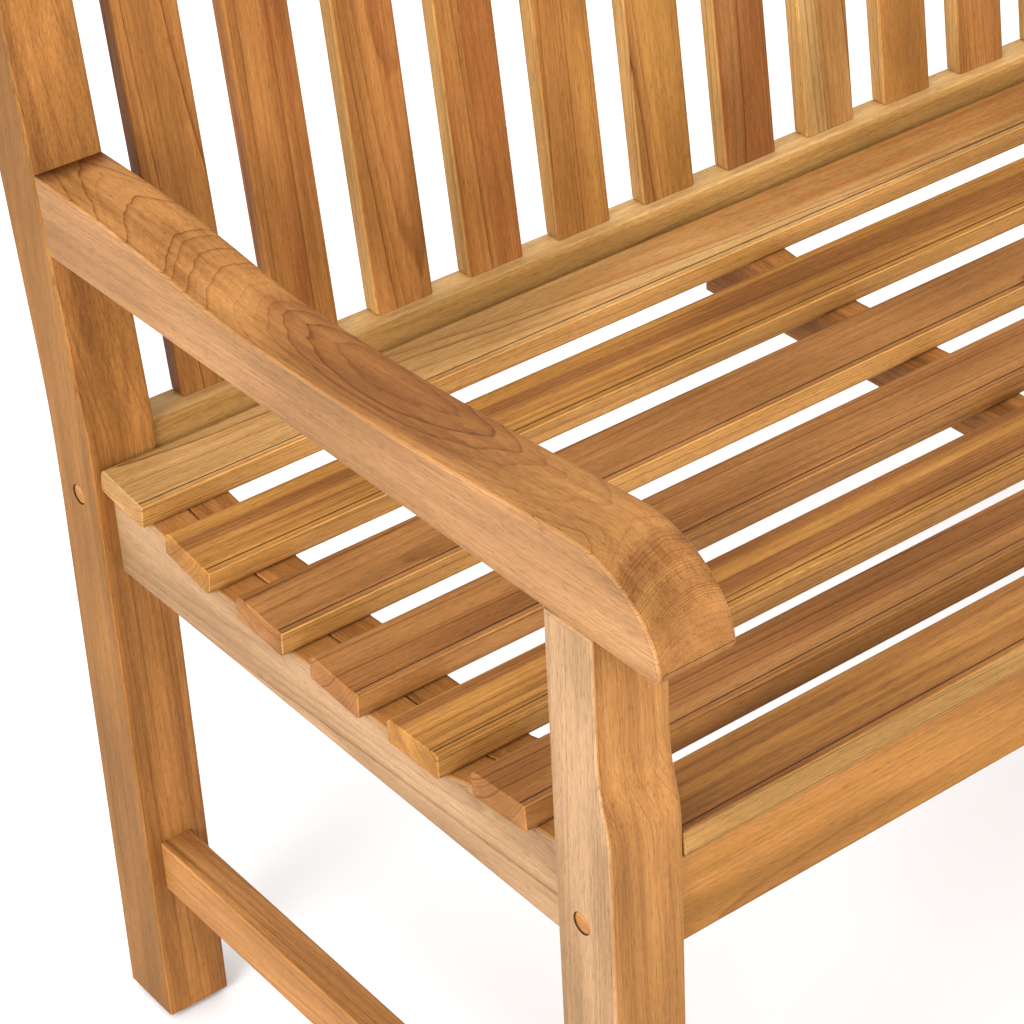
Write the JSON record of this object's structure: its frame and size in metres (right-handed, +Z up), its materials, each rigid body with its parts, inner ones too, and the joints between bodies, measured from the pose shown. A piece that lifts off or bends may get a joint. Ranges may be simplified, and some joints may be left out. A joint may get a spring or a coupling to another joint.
{
  "type": "garden bench",
  "caption": "Slatted hardwood garden bench with arms, dished seat, leaning slatted back and side stretchers; free-standing on glides.",
  "frame": {"origin": "on the floor, under the middle of the bench's box", "axes": "+Z up, +X along the bench to the sitter's left hand as seen from the front, so that the front faces -Y and the back leans towards +Y"},
  "size_m": [1.017, 0.6358, 0.89],
  "materials": {
    "frame_wood": "sanded and oiled",
    "seat_wood": "sanded and oiled",
    "back_wood": "sanded and oiled",
    "plug_wood": "sanded",
    "bolt_steel": "zinc plated",
    "glide_plastic": "moulded"
  },
  "bodies": {
    "root": {"arm_left": "frame_wood", "arm_right": "frame_wood", "back_slat_01": "back_wood", "back_slat_02": "back_wood", "back_slat_03": "back_wood", "back_slat_04": "back_wood", "back_slat_05": "back_wood", "back_slat_06": "back_wood", "back_slat_07": "back_wood", "back_slat_08": "back_wood", "back_slat_09": "back_wood", "back_slat_10": "back_wood", "back_slat_11": "back_wood", "back_slat_12": "back_wood", "center_bearer": "seat_wood", "front_bolt_left": "bolt_steel", "front_bolt_right": "bolt_steel", "front_glide_left": "glide_plastic", "front_glide_right": "glide_plastic", "front_leg_left": "frame_wood", "front_leg_right": "frame_wood", "front_plug_left": "plug_wood", "front_plug_right": "plug_wood", "front_rail": "frame_wood", "rear_bolt_left": "bolt_steel", "rear_bolt_right": "bolt_steel", "rear_glide_left": "glide_plastic", "rear_glide_right": "glide_plastic", "rear_plug_left": "plug_wood", "rear_plug_right": "plug_wood", "rear_post_left": "frame_wood", "rear_post_right": "frame_wood", "rear_rail": "frame_wood", "seat_cleat_left": "seat_wood", "seat_cleat_right": "seat_wood", "seat_slat_1": "seat_wood", "seat_slat_2": "seat_wood", "seat_slat_3": "seat_wood", "seat_slat_4": "seat_wood", "seat_slat_5": "seat_wood", "seat_slat_6": "seat_wood", "seat_slat_7": "seat_wood", "side_rail_left": "frame_wood", "side_rail_right": "frame_wood", "side_stretcher_left": "frame_wood", "side_stretcher_right": "frame_wood", "top_rail": "frame_wood"}
  },
  "joints": []
}
